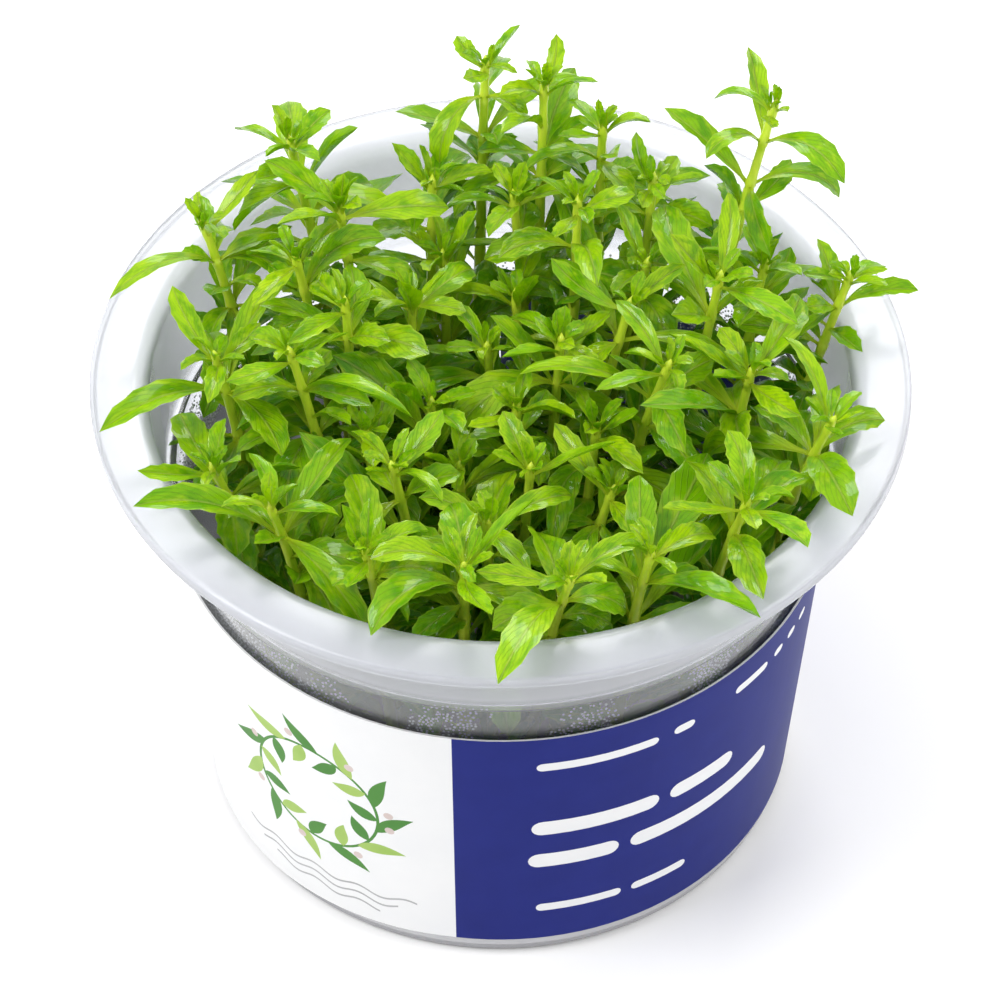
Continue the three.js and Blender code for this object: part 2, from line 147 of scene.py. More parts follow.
# Cup
# A thin cup of translucent polypropylene, injection moulded in one piece: floor, slightly conical
# wall, a ledge, a short wider neck and a flat flange with a turned-down edge.
_, cup_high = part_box("cup")
RIM_RADIUS = cup_high[0] / MM
RIM_HEIGHT = cup_high[2] / MM
FLANGE_THICKNESS = 0.9
LIP_DEPTH = 1.7
LIP_THICKNESS = 0.7
WALL_THICKNESS = 0.8
FLOOR_THICKNESS = 0.9
BASE_RADIUS = 35.1
BASE_CORNER = 0.7
WALL_SLOPE = 0.081
LEDGE_HEIGHT = 49.0
NECK_FOOT_RADIUS = 40.3
NECK_HEAD_RADIUS = 41.8
SHOULDER_RADIUS = 1.5
GAP = 0.3


def wall_radius(height):
    return BASE_RADIUS + WALL_SLOPE * height


def inner_radius(height):
    if height < LEDGE_HEIGHT + WALL_THICKNESS:
        return wall_radius(height) - WALL_THICKNESS
    share = (height - LEDGE_HEIGHT) / (RIM_HEIGHT - LEDGE_HEIGHT)
    return NECK_FOOT_RADIUS + share * (NECK_HEAD_RADIUS - NECK_FOOT_RADIUS) - WALL_THICKNESS


def arc(centre, height, radius, start, end, steps=6):
    turns = [radians(start + (end - start) * i / steps) for i in range(steps + 1)]
    return [(centre + radius * cos(turn), height + radius * sin(turn)) for turn in turns]


def turn_profile(profile, around):
    """Turns (radius, height) points in millimetres round the axis; the ends lie on the axis."""
    vertices = [(0, 0, profile[0][1] * MM), (0, 0, profile[-1][1] * MM)]
    for radius, height in profile[1:-1]:
        for i in range(around):
            turn = 2 * pi * i / around
            vertices.append((radius * cos(turn) * MM, radius * sin(turn) * MM, height * MM))
    rings = len(profile) - 2
    faces = []
    for i in range(around):
        after = (i + 1) % around
        faces.append((0, 2 + after, 2 + i))
        last = 2 + (rings - 1) * around
        faces.append((1, last + i, last + after))
        for ring in range(rings - 1):
            here = 2 + ring * around
            above = here + around
            faces.append((here + i, here + after, above + after, above + i))
    return vertices, faces


flange_under = RIM_HEIGHT - FLANGE_THICKNESS
shoulder_radius = NECK_HEAD_RADIUS + SHOULDER_RADIUS
inner_side = SHOULDER_RADIUS + WALL_THICKNESS
lip_radius = RIM_RADIUS - LIP_THICKNESS
lip_foot = RIM_HEIGHT - LIP_DEPTH
EDGE = 0.25
ledge_top = LEDGE_HEIGHT + WALL_THICKNESS
cup_profile = [
    (0, 0),
    *arc(wall_radius(0) - BASE_CORNER, BASE_CORNER, BASE_CORNER, -90, 0),
    *arc(wall_radius(LEDGE_HEIGHT) + EDGE, LEDGE_HEIGHT - EDGE, EDGE, 180, 90, 3),
    *arc(NECK_FOOT_RADIUS - EDGE, LEDGE_HEIGHT + EDGE, EDGE, -90, 0, 3),
    *arc(shoulder_radius, flange_under - SHOULDER_RADIUS, SHOULDER_RADIUS, 180, 90),
    *arc(lip_radius - EDGE, flange_under - EDGE, EDGE, 90, 0, 3),
    (lip_radius, lip_foot + EDGE),
    *arc(RIM_RADIUS - LIP_THICKNESS / 2, lip_foot + LIP_THICKNESS / 2, LIP_THICKNESS / 2, 180, 360),
    *arc(RIM_RADIUS - LIP_THICKNESS / 2, RIM_HEIGHT - LIP_THICKNESS / 2, LIP_THICKNESS / 2, 0, 90, 4),
    *arc(shoulder_radius, RIM_HEIGHT - inner_side, inner_side, 90, 180, 8),
    *arc(NECK_FOOT_RADIUS - WALL_THICKNESS - EDGE, ledge_top + EDGE, EDGE, 0, -90, 3),
    *arc(wall_radius(ledge_top) - WALL_THICKNESS + EDGE, ledge_top - EDGE, EDGE, 90, 180, 3),
    *arc(wall_radius(0) - BASE_CORNER, FLOOR_THICKNESS + 1.2, 1.2, 0, -90, 4),
    (0, FLOOR_THICKNESS),
]
AROUND = 192
cup_vertices, cup_faces = turn_profile(cup_profile, AROUND)

def colours(tree, factor, first, second):
    """Mixes two colours, each a hex value or a socket, by a factor."""
    mix = add_node(tree, "ShaderNodeMix", {"Factor": factor}, data_type="RGBA")
    for name, colour in (("A", first), ("B", second)):
        socket = next(i for i in mix.inputs if i.name == name and i.type == "RGBA")
        if isinstance(colour, str):
            socket.default_value = linear(colour)
        else:
            tree.links.new(colour, socket)
    return next(o for o in mix.outputs if o.type == "RGBA")


def maths(tree, operation, first, second=0.0, clamp=False):
    made = add_node(tree, "ShaderNodeMath", {0: first, 1: second}, operation=operation, use_clamp=clamp)
    return made.outputs[0]


def ramp(tree, value, low, high, to_low=0.0, to_high=1.0):
    inputs = {"Value": value, "From Min": low, "From Max": high, "To Min": to_low, "To Max": to_high}
    return add_node(tree, "ShaderNodeMapRange", inputs).outputs["Result"]


def noise(tree, vector, scale, detail=2.0, roughness=0.5):
    inputs = {"Vector": vector, "Scale": scale, "Detail": detail, "Roughness": roughness}
    return add_node(tree, "ShaderNodeTexNoise", inputs).outputs["Fac"]


def raise_surface(tree, shader, height, strength, distance):
    """Gives a shader fine relief from a pattern, and returns the relief."""
    inputs = {"Height": height, "Strength": strength, "Distance": distance}
    relief = add_node(tree, "ShaderNodeBump", inputs).outputs["Normal"]
    tree.links.new(relief, shader.inputs["Normal"])
    return relief


# Moulded polypropylene: milky and see-through at once. The wall is clear, and the neck and the foot
# are frosted. The foot's grey is painted shade, standing in for the darker inside seen through it.
FROST_FROM, FROST_TO = (LEDGE_HEIGHT - 0.5) * MM, (LEDGE_HEIGHT + 2.5) * MM
FOOT_FROM, FOOT_TO = 6 * MM, 3.5 * MM
CLEAR_WALL, CLEAR_NECK, CLEAR_FOOT = 0.96, 0.62, 0.15
SMOOTH_WALL = 0.015
cup_material, tree, shader = new_material("moulded_polypropylene")
shader.inputs["IOR"].default_value = 1.49
place = add_node(tree, "ShaderNodeTexCoord").outputs["Object"]
height = add_node(tree, "ShaderNodeSeparateXYZ", {0: place}).outputs["Z"]
up_neck = ramp(tree, height, FROST_FROM, FROST_TO)
foot_shade_and_frost = ramp(tree, height, FOOT_FROM, FOOT_TO)
# The grey towards the foot is painted shade; the same mask also frosts the foot and makes it less clear
tree.links.new(colours(tree, foot_shade_and_frost, "#e6e8ee", "#a6a6aa"), shader.inputs["Base Color"])
above_foot = ramp(tree, up_neck, 0.0, 1.0, CLEAR_WALL, CLEAR_NECK)
less_at_foot = ramp(tree, foot_shade_and_frost, 0.0, 1.0, 0.0, CLEAR_WALL - CLEAR_FOOT)
tree.links.new(maths(tree, "SUBTRACT", above_foot, less_at_foot), shader.inputs["Transmission Weight"])
frost = ramp(tree, noise(tree, place, 90.0, 1.0), 0.0, 1.0, 0.18 - SMOOTH_WALL, 0.3 - SMOOTH_WALL)
frosted = maths(tree, "MULTIPLY", maths(tree, "MAXIMUM", up_neck, foot_shade_and_frost), frost)
tree.links.new(maths(tree, "ADD", frosted, SMOOTH_WALL), shader.inputs["Roughness"])
raise_surface(tree, shader, noise(tree, place, 900.0), 0.06, 0.0002)

cup = new_piece("cup_moulding", cup_vertices, cup_faces, [cup_material])
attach(cup, "root")
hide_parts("cup")


# Nutrient gel
# A layer of cloudy agar cast on the cup's floor, which the stems are rooted in.
gel_low, gel_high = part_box("nutrient_gel")
GEL_HEAD = gel_high[2] / MM
gel_stand = WALL_THICKNESS + GAP
MENISCUS = 0.5  # the gel's edge stands this much lower than its middle
gel_profile = [
    (0, gel_low[2] / MM),
    (wall_radius(0) - BASE_CORNER - GAP, gel_low[2] / MM),
    (wall_radius(BASE_CORNER) - gel_stand, BASE_CORNER + FLOOR_THICKNESS),
    (wall_radius(GEL_HEAD) - gel_stand, GEL_HEAD - MENISCUS),
    (wall_radius(GEL_HEAD) - gel_stand - MENISCUS, GEL_HEAD - MENISCUS / 4),
    (wall_radius(GEL_HEAD) - gel_stand - 4 * MENISCUS, GEL_HEAD),
    (0, GEL_HEAD),
]
gel_vertices, gel_faces = turn_profile(gel_profile, 96)

# Agar: wet on top, pale straw and cloudy inside
gel_material, tree, shader = new_material("agar_gel")
shader.inputs["Transmission Weight"].default_value = 0.5
shader.inputs["IOR"].default_value = 1.34
shader.inputs["Roughness"].default_value = 0.15
place = add_node(tree, "ShaderNodeTexCoord").outputs["Object"]
cloudy = colours(tree, noise(tree, place, 120.0, 4.0), "#d8d6bd", "#ebe9da")
tree.links.new(cloudy, shader.inputs["Base Color"])

gel = new_piece("agar_layer", gel_vertices, gel_faces, [gel_material])
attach(gel, "root")
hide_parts("nutrient_gel")


# Label
# A printed film wrapped round the wall under the ledge, with its ends meeting at the back: a blue
# field with plain white bars, and a white field with a wreath of leaves over three wave lines.
_, label_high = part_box("label")
LABEL_HEAD = label_high[2] / MM
LABEL_FOOT = 3.0
LABEL_DIP = 1.3
LABEL_DIP_START = -10.0  # degrees from the front
LABEL_DIP_END = -50.0
LABEL_THICKNESS = 0.25
LABEL_ENDS = (-178.0, 180.0)
LABEL_STEP = 3.0  # degrees between two lines of the mesh
ARC = radians(1) * (wall_radius(LABEL_HEAD / 2) + GAP)  # millimetres along the label for a degree
WHITE_FILM, BLUE_INK, DARK_GREEN_INK, LIGHT_GREEN_INK, CLAY_INK, GREY_INK, BACK_OF_FILM = range(7)


def label_foot(angle):
    share = (angle - LABEL_DIP_START) / (LABEL_DIP_END - LABEL_DIP_START)
    return LABEL_FOOT - LABEL_DIP * min(1, max(0, share))


def bar(left, right, low, high):
    """A plain bar with round ends, in millimetres along and up the label."""
    radius = (high - low) / 2
    middle = (high + low) / 2
    right_end = arc_points(right - radius, middle, radius, -90, 90)
    return right_end + arc_points(left + radius, middle, radius, 90, 270)


def arc_points(x, y, radius, start, end, steps=8):
    turns = [radians(start + (end - start) * i / steps) for i in range(steps + 1)]
    return [(x + radius * cos(turn), y + radius * sin(turn)) for turn in turns]


def disc(x, y, radius, steps):
    return arc_points(x, y, radius, 0, 360 - 360 / steps, steps - 1)


PRINTED_LEAF_STEPS = 10
WAVE_STEPS = 60


def printed_leaf(foot, head, bend, width):
    """A pointed oval leaf: its foot, its head, how far it bends aside and its greatest width."""
    (x0, y0), (x2, y2) = foot, head
    x1, y1 = (x0 + x2) / 2 - bend * (y2 - y0), (y0 + y2) / 2 + bend * (x2 - x0)
    left, right = [], []
    for i in range(PRINTED_LEAF_STEPS + 1):
        t = i / PRINTED_LEAF_STEPS
        x = (1 - t) ** 2 * x0 + 2 * t * (1 - t) * x1 + t * t * x2
        y = (1 - t) ** 2 * y0 + 2 * t * (1 - t) * y1 + t * t * y2
        dx = 2 * (1 - t) * (x1 - x0) + 2 * t * (x2 - x1)
        dy = 2 * (1 - t) * (y1 - y0) + 2 * t * (y2 - y1)
        half = width / 2 * sin(pi * t ** 0.8) / math.hypot(dx, dy)
        left.append((x - dy * half, y + dx * half))
        if 0 < i < PRINTED_LEAF_STEPS:
            right.append((x + dy * half, y - dx * half))
    return left + right[::-1]


def wave(left, right, height, swing, length, thick):
    """A thin line that waves up and down from left to right."""
    across = [left + (right - left) * i / WAVE_STEPS for i in range(WAVE_STEPS + 1)]
    rise = [height + swing * sin(2 * pi * x / length) for x in across]
    upper = [(x, y + thick / 2) for x, y in zip(across, rise)]
    return upper + [(x, y - thick / 2) for x, y in zip(across, rise)][::-1]


# Plain bars and dashes on the blue field
FIELD_EDGE = -5.2  # where the white field ends and the blue one starts, across the front
FIELD_LOW, FIELD_HIGH = -5, 60  # beyond the label's edges, which trim it
seam = LABEL_ENDS[1] * ARC + 1
field = [(FIELD_EDGE, FIELD_LOW), (seam, FIELD_LOW), (seam, FIELD_HIGH), (FIELD_EDGE, FIELD_HIGH)]
prints = [(BLUE_INK, field)]
for left, right, low, high in (
    (4.2, 18.6, 36.6, 38.0), (20.6, 23.4, 36.8, 38.2), (29.5, 35.2, 37.4, 38.7),
    (36.6, 38.4, 37.6, 38.8), (39.6, 41.4, 37.8, 39.0), (42.6, 44.4, 38.0, 39.2),
    (3.8, 19.5, 24.0, 26.6), (21.0, 30.6, 24.0, 26.6), (3.5, 14.6, 17.6, 20.2), (16.1, 38.4, 17.6, 20.2),
    (4.6, 15.4, 8.6, 10.0), (16.8, 24.6, 8.6, 10.0),
):
    prints.append((WHITE_FILM, bar(left, right, low, high)))
# A wreath of leaves and berries over three wave lines on the white field
WREATH_ACROSS, WREATH_UP = -23.0, 23.5
WREATH_RADIUS = 8.6
WREATH_LEAVES = 22
LEAF_LEAN = 24.0  # degrees round the wreath from a leaf's foot to its tip
OUTER_LEAF, INNER_LEAF = 4.6, -3.4  # how far the tips stand off the ring
PRINTED_BEND, PRINTED_WIDTH = 0.14, 1.9
BERRY_EVERY, BERRY_LEAN, BERRY_STAND, BERRY_RADIUS = 3, 9.0, 1.5, 0.62
for ink, radius in ((DARK_GREEN_INK, WREATH_RADIUS + 0.2), (WHITE_FILM, WREATH_RADIUS - 0.2)):
    prints.append((ink, disc(WREATH_ACROSS, WREATH_UP, radius, steps=64)))


def on_wreath(turn, radius):
    return WREATH_ACROSS + radius * cos(radians(turn)), WREATH_UP + radius * sin(radians(turn))


for i in range(WREATH_LEAVES):
    turn = 360 * i / WREATH_LEAVES
    reach = OUTER_LEAF if i % 2 else INNER_LEAF
    ink = DARK_GREEN_INK if i % 4 < 2 else LIGHT_GREEN_INK
    tip = on_wreath(turn + LEAF_LEAN, WREATH_RADIUS + reach)
    foot = on_wreath(turn, WREATH_RADIUS)
    prints.append((ink, printed_leaf(foot, tip, PRINTED_BEND, PRINTED_WIDTH)))
    if i % BERRY_EVERY == 0:
        berry = on_wreath(turn + BERRY_LEAN, WREATH_RADIUS + BERRY_STAND)
        prints.append((CLAY_INK, disc(*berry, BERRY_RADIUS, steps=12)))
WAVES = 3
WAVE_INDENT, WAVE_PITCH = 2.5, 1.5
for i in range(WAVES):
    indent = WAVE_INDENT * i
    line = wave(-36.0 + indent, -10.0 - indent, 8.4 - WAVE_PITCH * i, swing=0.45, length=6.5, thick=0.32)
    prints.append((GREY_INK, line))
# Thin grey bars in rows on the back of the white field
ROWS = 9
ROW_PITCH = 2.6
ROW_LEFT, ROW_RIGHT = -106.0, -70.0
ROW_LOW, ROW_HIGH = 33.0, 33.5
for i in range(ROWS):
    down = ROW_PITCH * i
    prints.append((GREY_INK, bar(ROW_LEFT, ROW_RIGHT - 5 * (i % 3), ROW_LOW - down, ROW_HIGH - down)))


def inside(point, outline):
    """Whether a point is inside a closed outline, by the edges that a ray to the right crosses."""
    x, y = point
    crossed = False
    for (x0, y0), (x1, y1) in zip(outline, outline[1:] + outline[:1]):
        if (y0 > y) != (y1 > y) and x < x0 + (x1 - x0) * (y - y0) / (y1 - y0):
            crossed = not crossed
    return crossed


lines = int((LABEL_ENDS[1] - LABEL_ENDS[0]) / LABEL_STEP) + 1
angles = [LABEL_ENDS[0] + (LABEL_ENDS[1] - LABEL_ENDS[0]) * i / lines for i in range(lines + 1)]
points = [Vector((a * ARC, label_foot(a))) for a in angles] + [Vector((a * ARC, LABEL_HEAD)) for a in angles]
count = len(angles)
edges = [(i, count + i) for i in range(count)]
edges += [(i, i + 1) for i in range(count - 1)] + [(count + i, count + i + 1) for i in range(count - 1)]
low_edge, high_edge = LABEL_ENDS[0] * ARC, LABEL_ENDS[1] * ARC
for ink, outline in prints:
    start = len(points)
    for x, y in outline:
        points.append(Vector((min(max(x, low_edge), high_edge), min(max(y, -1), LABEL_HEAD + 1))))
    edges += [(start + i, start + (i + 1) % len(outline)) for i in range(len(outline))]
flat_points, _, triangles, _, _, _ = delaunay_2d_cdt(points, edges, [], 0, 1e-4)
boxes = []
for _, outline in prints:
    across, up = zip(*outline)
    boxes.append((min(across), max(across), min(up), max(up)))
faces, inks = [], []
for triangle in triangles:
    x, y = sum((flat_points[i] for i in triangle), Vector((0, 0))) / 3
    if not label_foot(x / ARC) < y < LABEL_HEAD:
        continue
    ink = WHITE_FILM
    for (kind, outline), (x0, x1, y0, y1) in zip(prints, boxes):
        if x0 < x < x1 and y0 < y < y1 and inside((x, y), outline):
            ink = kind
    faces.append(tuple(triangle))
    inks.append(ink)
used = sorted({i for face in faces for i in face})
order = {old: new for new, old in enumerate(used)}
faces = [tuple(order[i] for i in face) for face in faces]


def on_wall(x, height, stand):
    angle = radians(x / ARC - 90)
    radius = wall_radius(height) + stand
    return (radius * cos(angle) * MM, radius * sin(angle) * MM, height * MM)


label_points = [on_wall(*flat_points[i], GAP + LABEL_THICKNESS) for i in used]
label_points += [on_wall(*flat_points[i], GAP) for i in used]
ahead = {(a, b) for face in faces for a, b in zip(face, face[1:] + face[:1])}
rims = [(a, b) for a, b in ahead if (b, a) not in ahead]
count = len(used)
label_faces = faces + [tuple(count + i for i in face[::-1]) for face in faces]
label_faces += [(b, a, a + count, b + count) for a, b in rims]
label_inks = inks + [BACK_OF_FILM] * len(faces) + [WHITE_FILM] * len(rims)

# Printed film: satin, with the ink's colour slightly uneven and fine ripples from wrapping. A little
# light comes through it, so its back is not black where it is seen through the wall.
INKS = (
    ("white_label_film", "#fafafa", "#f1f2f4"), ("blue_ink_on_film", "#0c1a72", "#172684"),
    ("dark_green_ink_on_film", "#3f7a35", "#5d9a45"), ("light_green_ink_on_film", "#8fb84a", "#b9d47a"),
    ("clay_ink_on_film", "#c9b3ae", "#e3d6d2"), ("grey_ink_on_film", "#9b9a9c", "#c4c3c6"),
    ("back_of_label_film", "#f1f1f1", "#fafafa"),
)
LIGHT_THROUGH_INK = 0.15
LIGHT_THROUGH_BACK = 0.7
label_materials = []
for name, dark, pale in INKS:
    material, tree, shader = new_material(name)
    shader.inputs["Roughness"].default_value = 0.42
    shader.inputs["Specular IOR Level"].default_value = 0.15
    place = add_node(tree, "ShaderNodeTexCoord").outputs["Object"]
    tint = colours(tree, noise(tree, place, 160.0, 5.0), dark, pale)
    tree.links.new(tint, shader.inputs["Base Color"])
    raise_surface(tree, shader, noise(tree, place, 60.0), 0.08, 0.0006)
    through = add_node(tree, "ShaderNodeBsdfTranslucent", {"Color": tint})
    share = LIGHT_THROUGH_BACK if name == "back_of_label_film" else LIGHT_THROUGH_INK
    film = add_node(tree, "ShaderNodeMixShader", {0: share, 1: shader.outputs[0], 2: through.outputs[0]})
    tree.links.new(film.outputs[0], tree.nodes["Material Output"].inputs["Surface"])
    label_materials.append(material)

label = new_piece("printed_label", label_points, label_faces, label_materials)
label.data.set_sharp_from_angle(angle=radians(40))
label.data.polygons.foreach_set("material_index", label_inks)
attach(label, "root")
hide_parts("label")


# Condensation
# Water that has settled on the inside of the clear wall: fine beads in patches, and a few larger
# drops under the ledge, all of them clinging to the plastic.
BEADS_FOOT = 41.0
BEADS_HEAD = 48.6
BEADS_AROUND = 96


def baked_with(tree, inputs, source, name):
    """Runs a node tree on a mesh object, sets its inputs by name, and returns the plain mesh."""
    modifier = source.modifiers.new("tree", "NODES")
    modifier.node_group = tree
    for item in tree.interface.items_tree:
        if item.item_type == "SOCKET" and item.in_out == "INPUT" and item.name in inputs:
            modifier[item.identifier] = inputs[item.name]
    evaluated = source.evaluated_get(bpy.context.evaluated_depsgraph_get())
    mesh = bpy.data.meshes.new_from_object(evaluated)
    source.modifiers.clear()
    mesh.name = name
    return mesh


def water(name, clearness):
    """Clear water; beads too small to be seen through catch the light and look white instead."""
    material, tree, shader = new_material(name)
    shader.inputs["Base Color"].default_value = (1.0, 1.0, 1.0, 1.0)
    shader.inputs["Transmission Weight"].default_value = clearness
    shader.inputs["IOR"].default_value = 1.33
    place = add_node(tree, "ShaderNodeTexCoord").outputs["Object"]
    dusty = ramp(tree, noise(tree, place, 1200.0), 0.0, 1.0, 0.0, 0.05)
    tree.links.new(dusty, shader.inputs["Roughness"])
    return material


mist_water = water("water_in_fine_beads", 0.08)
drop_water = water("water_in_drops", 1.0)

beads_tree = bpy.data.node_groups.new("beads_of_water", "GeometryNodeTree")
beads_tree.interface.new_socket("Geometry", in_out="OUTPUT", socket_type="NodeSocketGeometry")
for socket_name, kind in (
    ("Geometry", "Geometry"), ("Spacing", "Float"), ("Density", "Float"), ("Patch Size", "Float"),
    ("Smallest", "Float"), ("Largest", "Float"), ("Seed", "Int"), ("Material", "Material"),
):
    beads_tree.interface.new_socket(socket_name, in_out="INPUT", socket_type="NodeSocket" + kind)
given = add_node(beads_tree, "NodeGroupInput").outputs
patch = add_node(beads_tree, "ShaderNodeTexNoise", {"Scale": given["Patch Size"], "Detail": 3.0})
share = ramp(beads_tree, patch.outputs["Fac"], 0.5, 0.53)
spread = add_node(
    beads_tree, "GeometryNodeDistributePointsOnFaces",
    {
        "Mesh": given["Geometry"], "Distance Min": given["Spacing"], "Density Max": given["Density"],
        "Density Factor": share, "Seed": given["Seed"],
    },
    distribute_method="POISSON",
)
bead = add_node(beads_tree, "GeometryNodeMeshIcoSphere", {"Radius": 1.0, "Subdivisions": 1})
size = add_node(beads_tree, "FunctionNodeRandomValue", data_type="FLOAT")
size_sockets = [socket for socket in size.inputs if socket.type == "VALUE" and socket.name in ("Min", "Max")]
beads_tree.links.new(given["Smallest"], size_sockets[0])
beads_tree.links.new(given["Largest"], size_sockets[1])
size_value = next(socket for socket in size.outputs if socket.type == "VALUE")
flat = add_node(beads_tree, "ShaderNodeCombineXYZ", {"X": 1.0, "Y": 1.0, "Z": 0.6})
bead_size = {0: flat.outputs[0], "Scale": size_value}
scale = add_node(beads_tree, "ShaderNodeVectorMath", bead_size, operation="SCALE")
placed = add_node(
    beads_tree, "GeometryNodeInstanceOnPoints",
    {
        "Points": spread.outputs["Points"], "Instance": bead.outputs["Mesh"],
        "Rotation": spread.outputs["Rotation"], "Scale": scale.outputs[0],
    },
)
real = add_node(beads_tree, "GeometryNodeRealizeInstances", {"Geometry": placed.outputs["Instances"]})
smooth = add_node(beads_tree, "GeometryNodeSetShadeSmooth", {"Geometry": real.outputs["Geometry"]})
wetted = {"Geometry": smooth.outputs["Geometry"], "Material": given["Material"]}
wet = add_node(beads_tree, "GeometryNodeSetMaterial", wetted)
add_node(beads_tree, "NodeGroupOutput", {"Geometry": wet.outputs["Geometry"]})


def wall_band(name, foot, head, stand):
    """A band just off the inside of the cup's wall, facing the axis."""
    corners = []
    for height in (foot, head):
        for i in range(BEADS_AROUND):
            turn = 2 * pi * i / BEADS_AROUND
            radius = inner_radius(height) - stand
            corners.append((radius * cos(turn) * MM, radius * sin(turn) * MM, height * MM))
    faces = []
    for i in range(BEADS_AROUND):
        after = (i + 1) % BEADS_AROUND
        faces.append((i, BEADS_AROUND + i, BEADS_AROUND + after, after))
    mesh = bpy.data.meshes.new(name)
    mesh.from_pydata(corners, [], faces)
    made = bpy.data.objects.new(name, mesh)
    bpy.context.scene.collection.objects.link(made)
    return made


for name, foot, head, wanted in (
    ("fine_beads", BEADS_FOOT, BEADS_HEAD, (0.38, 28.0, 85.0, 0.14, 0.21, 7, mist_water)),
    ("hanging_drops", 45.6, 47.8, (5.0, 0.6, 45.0, 0.45, 0.8, 4, drop_water)),
):
    spacing, density, patch_size, smallest, largest, seed, material = wanted
    band = wall_band(name, foot, head, 0.4 * smallest)
    mesh = baked_with(beads_tree, {
        "Spacing": spacing * MM, "Density": density / MM ** 2, "Patch Size": patch_size,
        "Smallest": smallest * MM, "Largest": largest * MM, "Seed": seed, "Material": material,
    }, band, name)
    band.data = mesh
    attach(band, "root")


# Plantlets
# Young limnophila shoots, grown from cuttings that stand in the gel: juicy stems with a whorl of
# soft toothed leaves at every node, so crowded that each leaf grows into what room is left. The
# shoots and their main leaves stand as in the part's source, which grows them by the same rules.
STEM_FOOT = GEL_HEAD + GAP
STEM_RADIUS = 0.75
STEM_TIP_RADIUS = 0.48
STEM_TIP_LENGTH = 1
NODE_SWELLING = 1.25
STEM_BEND = 0.15
LEAF_STEPS = 12
LEAF_INSET = 0.8
LEAF_BULGE = 1.35
LEAF_FULLNESS = 0.76
LEAF_CLEARANCE = 0.5
STEM_CLEARANCE = 1.3
WALL_CLEARANCE = 0.7
HEADSPACE = ((-40.3, -3.5, 50.0), (-35.7, 6.5, 70.0))
OWN_REACH = 3
LEAST_SPREAD = 30
TRIES = 16
TRY_TURN = 5
TRY_TURNS = 8
TRY_ROUND = 4
TRY_RISE = 7
TRY_SHORTENING = 0.88
VARIED = {
    "azimuth": 18, "rise": 25, "droop": 45, "curl": 45, "roll": 50, "fold": 12, "long": 0.28, "wide": 0.18,
}
FOLD = 22
WHORL_LEAVES = 3
WHORL_TURN = 360 / WHORL_LEAVES
WHORLS = [
    {"down": 1.5, "long": 9, "wide": 2.8, "rise": 42, "droop": 40},
    {"down": 6, "long": 15, "wide": 4.3, "rise": 34, "droop": 75},
    {"down": 13.5, "long": 16, "wide": 4.6, "rise": 28, "droop": 70},
    {"down": 21.5, "long": 14, "wide": 4.2, "rise": 22, "droop": 55},
]
SHOOTS = [
    {"head": (-2, 33, 82.5), "foot": (-3, 24), "turn": 20, "size": 0.75},
    {"head": (5, 31, 81), "foot": (4, 19), "turn": 75, "size": 0.9},
    {"head": (12, 28, 77), "foot": (11, 23), "turn": 10, "size": 0.8},
    {"head": (-25, 25, 77), "foot": (-17, 15), "turn": 50, "size": 1},
    {"head": (-35, 15, 73), "foot": (-25, 8), "turn": 170, "size": 0.85},
    {"head": (-19, 15, 76), "foot": (-14, 6), "turn": 5, "size": 1.2},
    {"head": (-33, -4, 70), "foot": (-27, -3), "turn": 140, "size": 1},
    {"head": (-33, -17, 65), "foot": (-24, -13), "turn": 190, "size": 0.95},
    {"head": (32, 24, 84), "foot": (20, 9), "turn": 25, "size": 0.72},
    {"head": (31, 12, 70), "foot": (26, 7), "turn": 80, "size": 0.85},
    {"head": (18, 22, 74), "foot": (15, 13), "turn": 120, "size": 0.8},
    {"head": (41, 10, 70), "foot": (31, 5), "turn": 60, "size": 0.75},
    {"head": (9, 17, 75), "foot": (8, 7), "turn": 0, "size": 1},
    {"head": (7, 0, 69), "foot": (5, -3), "turn": 15, "size": 1.1},
    {"head": (29, -5, 69), "foot": (24, -5), "turn": 60, "size": 1.25},
    {"head": (8, -38, 69), "foot": (3, -25), "turn": 50, "size": 1.1},
    {"head": (-4, -36, 69), "foot": (-4, -22), "turn": 30, "size": 1.1},
    {"head": (17, -34, 69), "foot": (13, -25), "turn": 20, "size": 1.1},
    {"head": (28, -26, 69), "foot": (21, -19), "turn": 95, "size": 1.1},
    {"head": (38, -14, 70), "foot": (28, -10), "turn": 340, "size": 1.1},
    {"head": (-15, -33, 68), "foot": (-12, -24), "turn": 20, "size": 1},
    {"head": (-26, -26, 68), "foot": (-20, -19), "turn": 215, "size": 1.05},
]
FILL_COUNT = 22
FILL_PLACES = 400
FILL_REACH = 35
FILL_SPACING = 8.5
FILL_HEIGHT = 69.5
FILL_HEIGHT_SLOPE = 0.11
FILL_HEIGHT_SPREAD = 4.5
FILL_FOOT_SHARE = 0.74
FILL_LEAN = 4
FILL_FOOT_SPACING = 3
FILL_SIZE_SPREAD = 0.12
SHOOT_SEED = 4711
LEAF_SEED = 1277
LEAF_SEED_STEP = 97
GOLDEN_ANGLE = 137.508


def drawing(seed):
    """Draws numbers from 0 to 1, the same ones for the same seed."""
    state = seed

    def draw():
        nonlocal state
        state = state * 16807 % 2147483647
        return state / 2147483647

    draw()
    draw()
    return draw


def around(draw, middle, spread):
    return middle + spread * (2 * draw() - 1)


